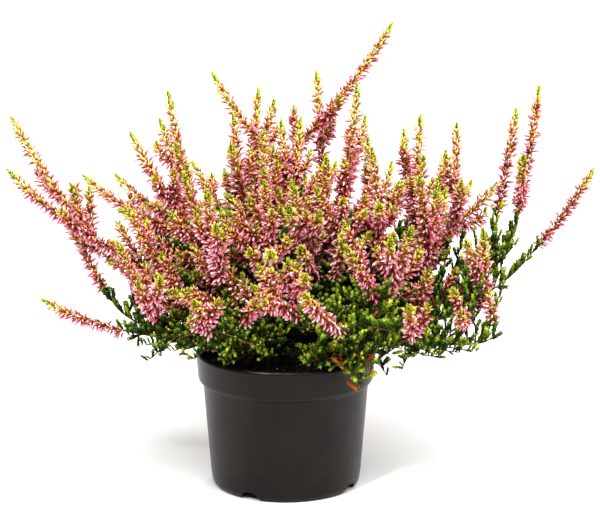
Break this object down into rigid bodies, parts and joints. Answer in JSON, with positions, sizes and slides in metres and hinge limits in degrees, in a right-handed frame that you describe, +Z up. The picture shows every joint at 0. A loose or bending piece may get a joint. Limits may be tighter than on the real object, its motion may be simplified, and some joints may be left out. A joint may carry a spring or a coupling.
{
  "type": "potted heather",
  "caption": "Pot-grown heather with upright and arching pink flower spikes over scaly green shoots, in a dark round plastic nursery pot of peat.",
  "frame": {"origin": "middle of the pot's flat underside, on its axis", "axes": "+Z up along the pot's axis, +X along the plant's widest spread, -Y towards the side that the picture shows"},
  "size_m": [0.3866, 0.2598, 0.3022],
  "materials": {
    "pot_plastic": "moulded polypropylene, satin, dark brown-grey",
    "peat": "moist fibrous peat, matt",
    "heather_leaf": "woody stems with scale leaves, soft sheen",
    "heather_flower": "waxy flower buds on an orange-brown stalk, yellow-green growing tips"
  },
  "bodies": {
    "root": {"flower_spike_back_1": "heather_flower", "flower_spike_back_2": "heather_flower", "flower_spike_back_3": "heather_flower", "flower_spike_back_4": "heather_flower", "flower_spike_back_5": "heather_flower", "flower_spike_back_6": "heather_flower", "flower_spike_back_7": "heather_flower", "flower_spike_back_left_1": "heather_flower", "flower_spike_back_left_2": "heather_flower", "flower_spike_back_left_3": "heather_flower", "flower_spike_centre_1": "heather_flower", "flower_spike_centre_2": "heather_flower", "flower_spike_centre_3": "heather_flower", "flower_spike_centre_4": "heather_flower", "flower_spike_centre_left_1": "heather_flower", "flower_spike_centre_left_2": "heather_flower", "flower_spike_centre_right_1": "heather_flower", "flower_spike_centre_right_2": "heather_flower", "flower_spike_centre_right_3": "heather_flower", "flower_spike_far_right_1": "heather_flower", "flower_spike_far_right_2": "heather_flower", "flower_spike_far_right_3": "heather_flower", "flower_spike_far_right_4": "heather_flower", "flower_spike_front_1": "heather_flower", "flower_spike_front_2": "heather_flower", "flower_spike_front_3": "heather_flower", "flower_spike_front_4": "heather_flower", "flower_spike_front_5": "heather_flower", "flower_spike_front_6": "heather_flower", "flower_spike_front_left_1": "heather_flower", "flower_spike_front_left_2": "heather_flower", "flower_spike_front_left_3": "heather_flower", "flower_spike_left_1": "heather_flower", "flower_spike_left_2": "heather_flower", "flower_spike_left_back_1": "heather_flower", "flower_spike_left_front_1": "heather_flower", "flower_spike_left_front_2": "heather_flower", "flower_spike_low_left_1": "heather_flower", "flower_spike_low_left_2": "heather_flower", "flower_spike_low_right_1": "heather_flower", "flower_spike_low_right_2": "heather_flower", "flower_spike_right_1": "heather_flower", "flower_spike_right_2": "heather_flower", "flower_spike_right_3": "heather_flower", "leafy_branch_back": "heather_leaf", "leafy_branch_back_left": "heather_leaf", "leafy_branch_centre": "heather_leaf", "leafy_branch_centre_left": "heather_leaf", "leafy_branch_centre_right": "heather_leaf", "leafy_branch_far_right": "heather_leaf", "leafy_branch_front": "heather_leaf", "leafy_branch_front_left": "heather_leaf", "leafy_branch_left": "heather_leaf", "leafy_branch_left_back": "heather_leaf", "leafy_branch_left_front": "heather_leaf", "leafy_branch_low_left": "heather_leaf", "leafy_branch_low_right": "heather_leaf", "leafy_branch_right": "heather_leaf", "pot": "pot_plastic", "soil": "peat"}
  },
  "joints": []
}
